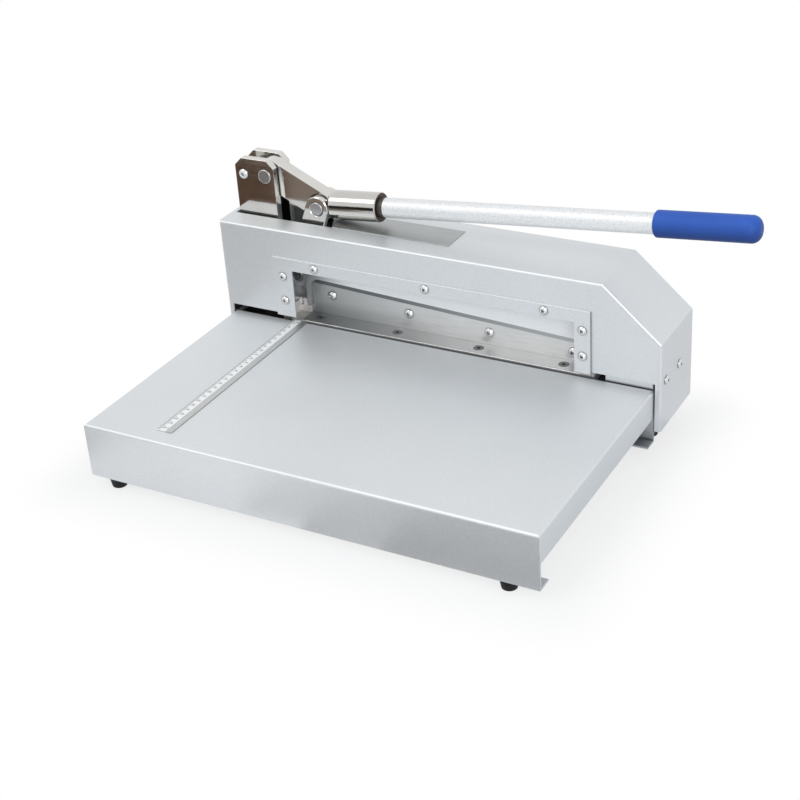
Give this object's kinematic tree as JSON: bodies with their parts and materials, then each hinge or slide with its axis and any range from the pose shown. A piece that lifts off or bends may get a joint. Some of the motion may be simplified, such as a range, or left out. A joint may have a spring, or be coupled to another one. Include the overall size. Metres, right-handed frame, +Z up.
{
  "type": "plate shearing machine",
  "caption": "Bench hand lever shear: folded sheet table with a ruler, hooded pivoting blade beam, plated ears and links, and a long lever with a sleeve grip.",
  "frame": {"origin": "middle of the overall box in plan, on the bench under the feet", "axes": "+X along the cutting line towards the grip, +Y from the front edge to the hood, +Z up"},
  "size_m": [0.6102, 0.372, 0.2574],
  "materials": {
    "silver_paint": "satin silver metallic paint, fine texture",
    "plated_steel": "bright nickel plate",
    "hammered_paint": "silver hammered paint",
    "grip_blue": "semi-matt blue sleeve",
    "blade_steel": "ground tool steel",
    "beam_steel": "machined and painted steel",
    "pin_steel": "turned steel",
    "dark_steel": "oiled rolled steel",
    "zinc_fasteners": "bright zinc plate",
    "black_fasteners": "black oxide",
    "guide_zinc": "pale cast, lightly blasted",
    "ruler_white": "printed white band on anodised strip",
    "plate_grey": "plain grey satin",
    "foot_rubber": "black moulded rubber",
    "pad_grey": "grey moulded rubber"
  },
  "bodies": {
    "base": {"table_tray": "silver_paint", "cover_shell": "silver_paint", "window_frame": "silver_paint", "pivot_block_front": "silver_paint", "stop_post": "silver_paint", "ear_front": "plated_steel", "ear_rear": "plated_steel", "lower_blade": "blade_steel", "fulcrum_pin": "pin_steel", "beam_pivot_pin": "pin_steel", "ear_spacer": "pin_steel", "base_plate": "dark_steel", "bed_bar": "dark_steel", "ear_block": "dark_steel", "pivot_cheek_rear": "dark_steel", "cover_rail_left": "dark_steel", "cover_rail_right": "dark_steel", "window_frame_screws": "zinc_fasteners", "cover_screws": "zinc_fasteners", "ear_tie_screw": "zinc_fasteners", "ruler_rivets": "zinc_fasteners", "foot_screws": "black_fasteners", "table_screws": "black_fasteners", "base_screws": "black_fasteners", "lower_blade_screws": "black_fasteners", "left_guide_screw": "black_fasteners", "ear_bolts": "black_fasteners", "ear_nuts": "black_fasteners", "left_guide": "guide_zinc", "ruler": "ruler_white", "name_plate": "plate_grey", "rubber_feet": "foot_rubber", "stop_pad": "pad_grey"},
    "lever": {"lever_arm": "plated_steel", "lever_tube": "hammered_paint", "lever_grip": "grip_blue"},
    "link": {"link_front": "plated_steel", "link_rear": "plated_steel", "link_upper_pin": "pin_steel", "link_lower_pin": "pin_steel"},
    "beam": {"blade_beam": "beam_steel", "upper_blade": "blade_steel", "upper_blade_screws": "zinc_fasteners"}
  },
  "joints": [
    {"name": "lever_pivot", "type": "hinge", "parent": "base", "child": "lever", "pos_m": [-0.25619, 0.1457, 0.2295], "axis": [0, -1, 0], "range_deg": [0, 45]},
    {"name": "beam_pivot", "type": "hinge", "parent": "base", "child": "beam", "pos_m": [0.19381, 0.1457, 0.0685], "axis": [0, -1, 0], "range_deg": [-7.12, 0]},
    {"name": "link_pivot", "type": "hinge", "parent": "beam", "child": "link", "pos_m": [-0.22619, 0.1457, 0.113], "axis": [0, -1, 0], "range_deg": [0, 11.17]}
  ],
  "couplings": [
    {"joint": "beam_pivot", "follows": "lever_pivot", "ratio": -0.158},
    {"joint": "link_pivot", "follows": "lever_pivot", "ratio": 0.248}
  ]
}
